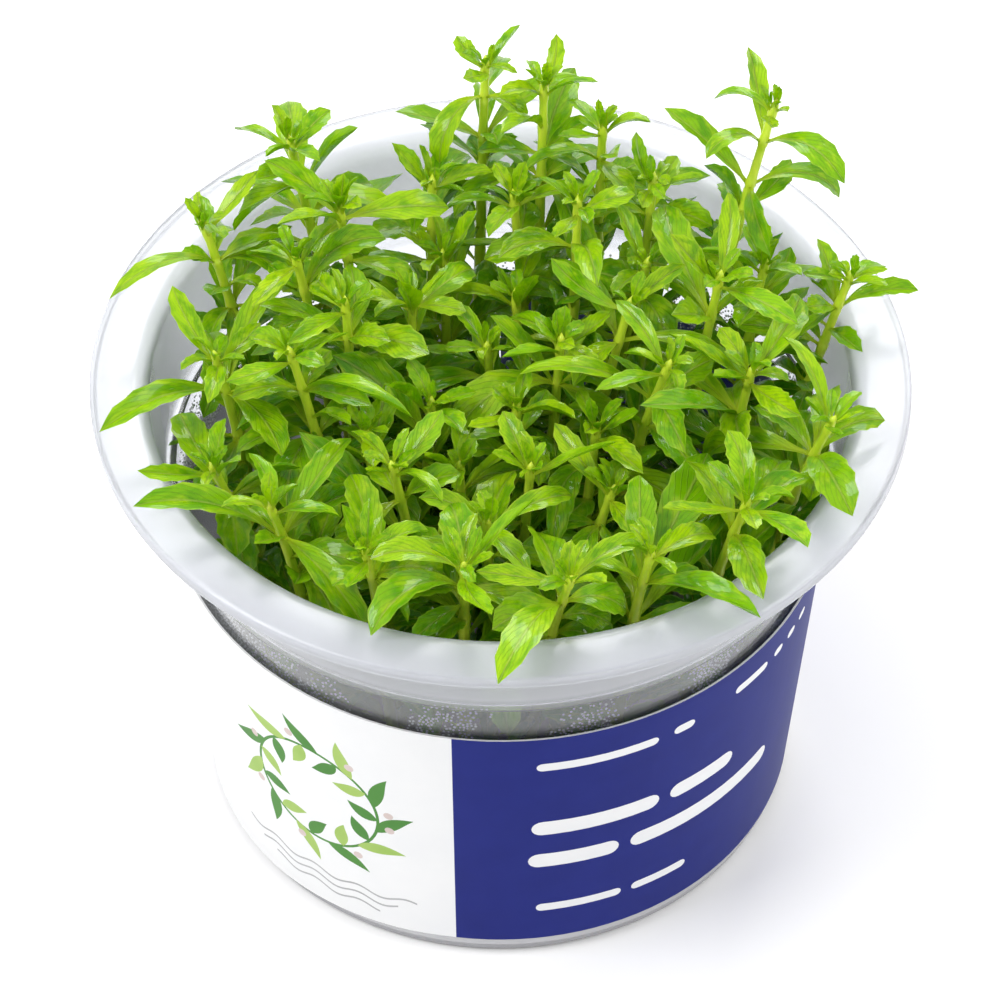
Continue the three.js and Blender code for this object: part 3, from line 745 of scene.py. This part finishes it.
def all_shoots():
    """The shoots that stand out, then the others, spread as a sunflower's seeds are."""
    found = list(SHOOTS)
    draw = drawing(SHOOT_SEED)
    for i in range(FILL_PLACES):
        if len(found) == len(SHOOTS) + FILL_COUNT:
            break
        radius = FILL_REACH * math.sqrt((i + 0.5) / FILL_PLACES)
        x = radius * cos(radians(i * GOLDEN_ANGLE))
        y = radius * sin(radians(i * GOLDEN_ANGLE))
        height = around(draw, FILL_HEIGHT + FILL_HEIGHT_SLOPE * y, FILL_HEIGHT_SPREAD)
        turn = WHORL_TURN * draw()
        size = around(draw, 1, FILL_SIZE_SPREAD)
        foot = tuple(around(draw, place * FILL_FOOT_SHARE, FILL_LEAN) for place in (x, y))
        free = all(
            math.hypot(shoot["head"][0] - x, shoot["head"][1] - y) > FILL_SPACING
            and math.hypot(shoot["foot"][0] - foot[0], shoot["foot"][1] - foot[1]) > FILL_FOOT_SPACING
            for shoot in found
        )
        if free:
            found.append({"head": (x, y, height), "foot": foot, "turn": turn, "size": size})
    return found


def stem_station(shoot, down):
    """A place on a stem, its direction and its radius, by the height below the head."""
    share = 1 - down / (shoot["head"][2] - STEM_FOOT)
    foot = np.array([*shoot["foot"], STEM_FOOT])
    head = np.array(shoot["head"], float)
    bend = foot + (head - foot) * np.array([STEM_BEND, STEM_BEND, 0.5])
    place = (1 - share) ** 2 * foot + 2 * share * (1 - share) * bend + share ** 2 * head
    along = (1 - share) * (bend - foot) + share * (head - bend)
    radius = STEM_TIP_RADIUS + (STEM_RADIUS - STEM_TIP_RADIUS) * min(1, 2 * (1 - share))
    return {"place": place, "along": along / np.linalg.norm(along), "radius": radius}


def level(azimuths):
    turns = np.radians(azimuths)
    return np.stack([np.cos(turns), np.sin(turns), np.zeros_like(turns)], axis=-1)


def leaf_spine(station, leaf):
    """A leaf's midrib: places, directions along, to the side and up, and half the blade's width."""
    shares = np.linspace(0, 1, LEAF_STEPS + 1)
    azimuths = leaf["azimuth"] + leaf["curl"] * shares
    dips = np.radians(leaf["rise"] - leaf["droop"] * shares)
    rolls = np.radians(leaf["roll"] * shares)[:, None]
    along = level(azimuths) * np.cos(dips)[:, None]
    along[:, 2] = np.sin(dips)
    flat_side = level(azimuths + 90)
    side = flat_side * np.cos(rolls) + np.cross(along, flat_side) * np.sin(rolls)
    start = station["place"] + level(leaf["azimuth"]) * station["radius"] * LEAF_INSET
    moves = along[:-1] * leaf["long"] / LEAF_STEPS
    place = np.cumsum(np.vstack([start, moves]), axis=0)
    half = leaf["wide"] / 2 * np.sin(pi * shares ** LEAF_BULGE).clip(0) ** LEAF_FULLNESS
    return {"place": place, "along": along, "side": side, "up": np.cross(along, side), "half": half}


def blade_points(spine, across, fold):
    """Points of the leaf's upper face at every step, from -1 at one margin to 1 at the other."""
    reach = spine["half"][:, None, None] * np.array(across)[None, :, None]
    outward = spine["side"][:, None, :] * reach * cos(radians(fold))
    return spine["place"][:, None, :] + outward + spine["up"][:, None, :] * abs(reach) * sin(radians(fold))


class Crowd:
    """What is already placed, as small balls."""

    def __init__(self, most):
        self.count = 0
        self.place = np.zeros((3, most))
        self.radius = np.zeros(most)
        self.owner = np.zeros(most, int)
        self.foot = np.zeros(most, bool)

    def add(self, places, radius, owner, feet):
        new = slice(self.count, self.count + len(places))
        self.place[:, new] = places.T
        self.radius[new] = radius
        self.owner[new] = owner
        self.foot[new] = feet
        self.count += len(places)

    def touches(self, places, radius, owner, feet):
        middle = (places.min(0) + places.max(0)) / 2
        reach = (places.max(0) - places.min(0)) / 2 + radius + STEM_CLEARANCE
        near = np.nonzero(abs(self.place[0, :self.count] - middle[0]) < reach[0])[0]
        for axis in (1, 2):
            near = near[abs(self.place[axis, near] - middle[axis]) < reach[axis]]
        apart = np.square(places[:, None, :] - self.place[:, near].T[None, :, :]).sum(2)
        meets = apart < np.square(radius + self.radius[near])[None, :]
        own = (self.owner[near] == owner)[None, :] & (feet[:, None] | self.foot[near][None, :])
        return bool((meets & ~own).any())


def clear_of_cup(places):
    """Whether all points are inside the cup and out of its free space, or clear above the flange."""
    low, high = HEADSPACE
    if ((places > low) & (places < high)).all(1).any():
        return False
    clear = [
        z > RIM_HEIGHT + WALL_CLEARANCE or math.hypot(x, y) < inner_radius(z) - WALL_CLEARANCE
        for x, y, z in places.tolist()
    ]
    return all(clear)


def place_leaf(crowd, station, wanted, owner, clearance=LEAF_CLEARANCE, least_spread=LEAST_SPREAD):
    """The leaf in the first pose that is clear of everything placed before it."""
    for i in range(TRIES):
        leaf = dict(wanted)
        effort = i // TRY_ROUND
        leaf["azimuth"] += TRY_TURN * math.ceil(i % TRY_TURNS / 2) * (1 if i % 2 else -1)
        leaf["rise"] += TRY_RISE * effort
        leaf["long"] *= TRY_SHORTENING ** effort
        spine = leaf_spine(station, leaf)
        if spine["along"][0] @ station["along"] >= cos(radians(least_spread)):
            continue
        places = blade_points(spine, (-1, -0.5, 0, 0.5, 1), leaf["fold"])[1:].reshape(-1, 3)
        feet = np.repeat(np.arange(1, LEAF_STEPS + 1) <= OWN_REACH, 5)
        if clear_of_cup(places) and not crowd.touches(places, clearance, owner, feet):
            crowd.add(places, clearance, owner, feet)
            return {**leaf, "spine": spine}
    return None


def wanted_leaf(draw, whorl, size, azimuth):
    return {
        "azimuth": around(draw, azimuth, VARIED["azimuth"]),
        "rise": around(draw, whorl["rise"], VARIED["rise"]),
        "droop": around(draw, whorl["droop"], VARIED["droop"]),
        "curl": around(draw, 0, VARIED["curl"]),
        "roll": around(draw, 0, VARIED["roll"]),
        "fold": around(draw, FOLD, VARIED["fold"]),
        "long": whorl["long"] * size * around(draw, 1, VARIED["long"]),
        "wide": whorl["wide"] * size * around(draw, 1, VARIED["wide"]),
    }


MOST_BALLS = 300000
crowd = Crowd(MOST_BALLS)
plantlets = []
for owner, shoot in enumerate(all_shoots()):
    plantlets.append({"shoot": shoot, "draw": drawing(LEAF_SEED + LEAF_SEED_STEP * owner), "leaves": []})
    downs = np.arange(0, shoot["head"][2] - STEM_FOOT, 1.0)
    middles = np.array([stem_station(shoot, down)["place"] for down in downs])
    crowd.add(middles, STEM_CLEARANCE, owner, True)
for rank, whorl in enumerate(WHORLS):
    for owner, plantlet in enumerate(plantlets):
        shoot = plantlet["shoot"]
        station = stem_station(shoot, whorl["down"] * shoot["size"])
        for k in range(WHORL_LEAVES):
            azimuth = shoot["turn"] + WHORL_TURN / 2 * rank + WHORL_TURN * k
            wanted = wanted_leaf(plantlet["draw"], whorl, shoot["size"], azimuth)
            leaf = place_leaf(crowd, station, wanted, owner)
            if leaf:
                plantlet["leaves"].append({**leaf, "age_and_depth_shade": rank / len(WHORLS)})

# Smaller leaves that fill the gaps: crown leaves round each tip, a second set in each whorl,
# and whorls further down
FILLER_CLEARANCE = 0.3
CROWN_CLEARANCE = 0.1
CROWN_SPREAD = 5
BARE_FOOT = 2  # the stem's lowest stretch, which has no leaves
SMALLER = 0.7  # a leaf that finds no room is tried once more at this size
# Leaves grow darker down the stem: partly their age, partly painted shade deep in the foliage
DARKEST_LEAF_DOWN = 25  # leaves this far down are as dark as leaves get
FILLER_WHORLS = [
    {"down": 0.1, "turn": 0, "long": 3.6, "wide": 1.5, "rise": 68, "droop": 30, "crown": True},
    {"down": 0.7, "turn": 60, "long": 5, "wide": 1.9, "rise": 55, "droop": 40, "crown": True},
    {"down": 6, "turn": 60, "long": 10.5, "wide": 3.6, "rise": 45, "droop": 60},
    {"down": 10, "turn": 90, "long": 12, "wide": 4.2, "rise": 38, "droop": 60},
    {"down": 13.5, "turn": 60, "long": 12, "wide": 4.2, "rise": 35, "droop": 50},
    {"down": 17.5, "turn": 10, "long": 12, "wide": 4, "rise": 35, "droop": 45},
    {"down": 20.5, "turn": 60, "long": 11, "wide": 3.7, "rise": 30, "droop": 40},
    {"down": 25, "turn": 30, "long": 11, "wide": 3.6, "rise": 30, "droop": 40},
    {"down": 30, "turn": 90, "long": 10, "wide": 3.4, "rise": 30, "droop": 40},
    {"down": 37, "turn": 0, "long": 9, "wide": 3.2, "rise": 30, "droop": 40},
]
for whorl in FILLER_WHORLS:
    for owner, plantlet in enumerate(plantlets):
        shoot = plantlet["shoot"]
        crown = "crown" in whorl
        down = whorl["down"] * shoot["size"]
        if down > shoot["head"][2] - STEM_FOOT - BARE_FOOT:
            continue
        station = stem_station(shoot, down)
        canopy = FILL_HEIGHT + FILL_HEIGHT_SLOPE * station["place"][1]
        if not crown and station["place"][2] > canopy:
            continue
        clearance = CROWN_CLEARANCE if crown else FILLER_CLEARANCE
        spread = CROWN_SPREAD if crown else LEAST_SPREAD
        for k in range(WHORL_LEAVES):
            azimuth = shoot["turn"] + whorl["turn"] + WHORL_TURN * k
            for share in (1, SMALLER):
                wanted = wanted_leaf(plantlet["draw"], whorl, shoot["size"] * share, azimuth)
                leaf = place_leaf(crowd, station, wanted, owner, clearance, spread)
                if leaf:
                    plantlet["leaves"].append({**leaf, "age_and_depth_shade": min(1, down / DARKEST_LEAF_DOWN)})
                    break


# One leaf's cross-section: five points on top, with a groove at the midrib, and a keel under it
BLADE_ACROSS = (-1, -0.55, 0, 0.55, 1)
CROWN_OF_HALF = 0.09  # each half of a blade bulges by this share of the leaf's half width
RIB_HALF_THICKNESS = 0.25
LEAST_HALF = 0.0875  # half the width of the stalk-like foot, for a leaf of width 1
STALK_SHARE = 0.2  # the share of the leaf's length over which the margins start to wave
TOOTH = 0.06  # share of the half width by which a tooth stands out
TOOTH_LEAN = 0.2  # how far a tooth's point leans towards the leaf's tip
FIRST_TOOTH = 6
WAVE = 0.16  # how far the margins swing up and down, as a share of the blade's width
WAVE_TURN = 11  # radians of the wave from foot to tip


def leaf_mesh(leaf, draw):
    """Vertices in millimetres, faces and the (across, along) place of each vertex on the blade."""
    spine = dict(leaf["spine"])
    steps = np.arange(LEAF_STEPS + 1)
    shares = np.linspace(0, 1, LEAF_STEPS + 1)
    foot = np.minimum(1, shares / STALK_SHARE)
    spine["half"] = np.maximum(spine["half"], LEAST_HALF * leaf["wide"] * (1 - shares) ** 0.5)
    points = blade_points(spine, BLADE_ACROSS, leaf["fold"])
    up, side, along = spine["up"], spine["side"], spine["along"]
    half = spine["half"]
    for column in (1, 3):
        points[:, column] += up * (CROWN_OF_HALF * half)[:, None]
    phases = (around(draw, 0, pi), around(draw, 0, pi))
    for column, sign, phase in ((0, -1, phases[0]), (4, 1, phases[1])):
        teeth = np.where(steps % 2 == 0, 1, -1) * (steps >= FIRST_TOOTH)
        points[:, column] += side * (sign * half * TOOTH * teeth)[:, None]
        points[:, column] += along * (np.maximum(teeth, 0) * TOOTH_LEAN)[:, None]
        swing = WAVE * foot * half / 2 * np.sin(shares * WAVE_TURN + phase)
        points[:, column] += up * swing[:, None]
    keel = spine["place"] - up * (RIB_HALF_THICKNESS * (1 - 0.5 * shares))[:, None]
    rings = np.concatenate([points[:-1], keel[:-1, None]], axis=1)
    vertices = np.vstack([rings.reshape(-1, 3), spine["place"][-1:]])
    faces = []
    count = 6
    for i in range(LEAF_STEPS - 1):
        for j in range(count):
            k = (j + 1) % count
            here, there = i * count, (i + 1) * count
            faces.append((here + j, here + k, there + k, there + j))
    last, tip = (LEAF_STEPS - 1) * count, LEAF_STEPS * count
    for j in range(count):
        faces.append((last + j, last + (j + 1) % count, tip))
    faces.append(tuple(range(count - 1, -1, -1)))
    across = np.array([*BLADE_ACROSS, 0])
    blade = [((a + 1) / 2, s) for s in shares[:-1] for a in across] + [(0.5, 1)]
    return vertices, faces, blade


STEM_SIDES = 8
STEM_STEP = 2.5
NODE_REACH = 1.4  # how far the swelling of a whorl reaches up and down
NODE_RISES = (-NODE_REACH, -0.6, 0, 0.6, NODE_REACH)


def stem_mesh(shoot, downs):
    """A tube up the stem that is thicker at each whorl."""
    height = shoot["head"][2] - STEM_FOOT
    places = {0.0: 1.0, height: 1.0}
    for i in range(1, int(height / STEM_STEP)):
        places[i * STEM_STEP] = 1.0
    for down in downs:
        for rise in NODE_RISES:
            if 0 < down - rise < height:
                places[down - rise] = 1 + (NODE_SWELLING - 1) * (1 - abs(rise) / NODE_REACH)
    ordered = sorted(places, reverse=True)
    vertices = []
    blade = []
    for down in ordered:
        station = stem_station(shoot, down)
        radius = station["radius"] * places[down]
        along = station["along"]
        across_x = np.array([1.0, 0, 0]) - along * along[0]
        across_x /= np.linalg.norm(across_x)
        across_y = np.cross(along, across_x)
        for i in range(STEM_SIDES):
            turn = 2 * pi * i / STEM_SIDES
            vertices.append(station["place"] + (across_x * cos(turn) + across_y * sin(turn)) * radius)
            blade.append((i / STEM_SIDES, 1 - down / height))
    faces = [tuple(range(STEM_SIDES - 1, -1, -1))]
    for ring in range(len(ordered) - 1):
        for i in range(STEM_SIDES):
            j = (i + 1) % STEM_SIDES
            here, there = ring * STEM_SIDES, (ring + 1) * STEM_SIDES
            faces.append((here + i, here + j, there + j, there + i))
    top = stem_station(shoot, 0)
    vertices.append(top["place"] + top["along"] * STEM_TIP_LENGTH)
    blade.append((0.5, 1))
    last = (len(ordered) - 1) * STEM_SIDES
    for i in range(STEM_SIDES):
        faces.append((last + i, last + (i + 1) % STEM_SIDES, len(vertices) - 1))
    return np.array(vertices), faces, blade


# Living leaf: thin wet tissue that glows where light comes through, with a pale midrib in a groove
leaf_material, tree, shader = new_material("wet_living_leaf")
shader.inputs["IOR"].default_value = 1.4
shader.inputs["Specular IOR Level"].default_value = 0.25
shader.inputs["Coat Weight"].default_value = 0.55
shader.inputs["Coat Roughness"].default_value = 0.06

tone = add_node(tree, "ShaderNodeAttribute", attribute_name="tone").outputs["Fac"]
age_and_depth_shade = add_node(tree, "ShaderNodeAttribute", attribute_name="age_and_depth_shade").outputs["Fac"]
blade = add_node(tree, "ShaderNodeUVMap", uv_map="blade").outputs["UV"]
blade_axes = add_node(tree, "ShaderNodeSeparateXYZ", {0: blade})
along_blade = blade_axes.outputs["Y"]
from_rib = maths(tree, "ABSOLUTE", maths(tree, "SUBTRACT", blade_axes.outputs["X"], 0.5))
place = add_node(tree, "ShaderNodeTexCoord").outputs["Object"]
# Young leaves at the top are yellow green; lower leaves are darker green, partly from age and partly as
# painted shade
young = colours(tree, tone, "#c3e60a", "#98d206")
old = colours(tree, tone, "#6fbc06", "#349206")
body = colours(tree, age_and_depth_shade, young, old)
# Marbling drawn out along the blade, another one on each leaf
marble_place = add_node(tree, "ShaderNodeCombineXYZ")
across_blade = blade_axes.outputs["X"]
for socket, source, factor in (("X", across_blade, 2.6), ("Y", along_blade, 4.2), ("Z", tone, 60.0)):
    tree.links.new(maths(tree, "MULTIPLY", source, factor), marble_place.inputs[socket])
dark_marble = noise(tree, marble_place.outputs[0], 1.0, 3.0, 0.6)
shaded = colours(tree, ramp(tree, dark_marble, 0.46, 0.64, 0.0, 0.6), body, "#3f9a06")
pale_marble = noise(tree, marble_place.outputs[0], 1.7)
patched = colours(tree, ramp(tree, pale_marble, 0.52, 0.72, 0.0, 0.5), shaded, "#dcf02e")
# Side veins leave the midrib forwards, about nine on each side
vein_start = maths(tree, "MULTIPLY", from_rib, 7.0)
vein_phase = maths(tree, "SUBTRACT", maths(tree, "MULTIPLY", along_blade, 9.0), vein_start)
vein_wave = maths(tree, "COSINE", maths(tree, "MULTIPLY", vein_phase, 2 * pi))
veins = ramp(tree, vein_wave, 0.8, 1.0)
veined = colours(tree, maths(tree, "MULTIPLY", veins, 0.28), patched, "#a9c93a")
rib = ramp(tree, from_rib, 0.05, 0.012)
ribbed = colours(tree, maths(tree, "MULTIPLY", rib, 0.65), veined, "#c0d65a")
margin = ramp(tree, from_rib, 0.44, 0.5)
edged = colours(tree, maths(tree, "MULTIPLY", margin, 0.45), ribbed, "#cfe05a")
footed = colours(tree, ramp(tree, along_blade, 0.3, 0.03, 0.0, 0.8), edged, "#dfec3a")
tree.links.new(footed, shader.inputs["Base Color"])
gloss = noise(tree, place, 900.0, 2.0, 0.65)
tree.links.new(ramp(tree, gloss, 0.3, 0.7, 0.24, 0.46), shader.inputs["Roughness"])
grooves = maths(tree, "ADD", rib, maths(tree, "MULTIPLY", veins, 0.5))
height = maths(tree, "SUBTRACT", maths(tree, "MULTIPLY", gloss, 0.35), grooves)
relief = raise_surface(tree, shader, height, 0.7, 0.0002)
glow = add_node(tree, "ShaderNodeBsdfTranslucent", {"Normal": relief})
tree.links.new(colours(tree, 0.5, footed, "#c9f01c"), glow.inputs["Color"])
mixed = add_node(tree, "ShaderNodeMixShader", {0: 0.4, 1: shader.outputs[0], 2: glow.outputs[0]})
tree.links.new(mixed.outputs[0], tree.nodes["Material Output"].inputs["Surface"])

# Juicy stem: pale yellow green with fine streaks along it
stem_material, tree, shader = new_material("juicy_stem")
place = add_node(tree, "ShaderNodeTexCoord").outputs["Object"]
drawn_out = add_node(tree, "ShaderNodeMapping", {"Vector": place})
drawn_out.inputs["Scale"].default_value = (1.0, 1.0, 0.12)
streaks = noise(tree, drawn_out.outputs[0], 1500.0, 3.0)
tree.links.new(colours(tree, streaks, "#a8d016", "#e0ea4c"), shader.inputs["Base Color"])
raise_surface(tree, shader, streaks, 0.3, 0.0001)
shader.inputs["Roughness"].default_value = 0.35
shader.inputs["Subsurface Weight"].default_value = 0.35
shader.inputs["Subsurface Scale"].default_value = 0.0015
shader.inputs["Subsurface Radius"].default_value = (0.8, 1.0, 0.2)

for number, plantlet in enumerate(plantlets, 1):
    draw = plantlet["draw"]
    shoot = plantlet["shoot"]
    vertices, faces, blade = stem_mesh(shoot, [w["down"] * shoot["size"] for w in WHORLS])
    vertices = list(vertices)
    stem_faces = len(faces)
    tones = [0.5] * len(vertices)
    age_and_depth_shade_values = [0.5] * len(vertices)
    for leaf in plantlet["leaves"]:
        points, patches, places = leaf_mesh(leaf, draw)
        start = len(vertices)
        vertices.extend(points)
        faces.extend(tuple(start + i for i in patch) for patch in patches)
        blade.extend(places)
        tone_value = draw()
        tones.extend([tone_value] * len(points))
        age_and_depth_shade_values.extend([leaf["age_and_depth_shade"]] * len(points))
    name = f"limnophila_{number:02d}"
    piece = new_piece(name, [tuple(v * MM) for v in vertices], faces, [leaf_material, stem_material])
    for i in range(stem_faces):
        piece.data.polygons[i].material_index = 1
    layer = piece.data.uv_layers.new(name="blade")
    corner = np.zeros(len(piece.data.loops), int)
    piece.data.loops.foreach_get("vertex_index", corner)
    layer.data.foreach_set("uv", np.array(blade, float)[corner].ravel())
    for key, values in (("tone", tones), ("age_and_depth_shade", age_and_depth_shade_values)):
        piece.data.attributes.new(key, "FLOAT", "POINT").data.foreach_set("value", np.array(values, float))
    piece.data.set_sharp_from_angle(angle=radians(75))
    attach(piece, "root")
    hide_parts(f"plantlet_{number:02d}")
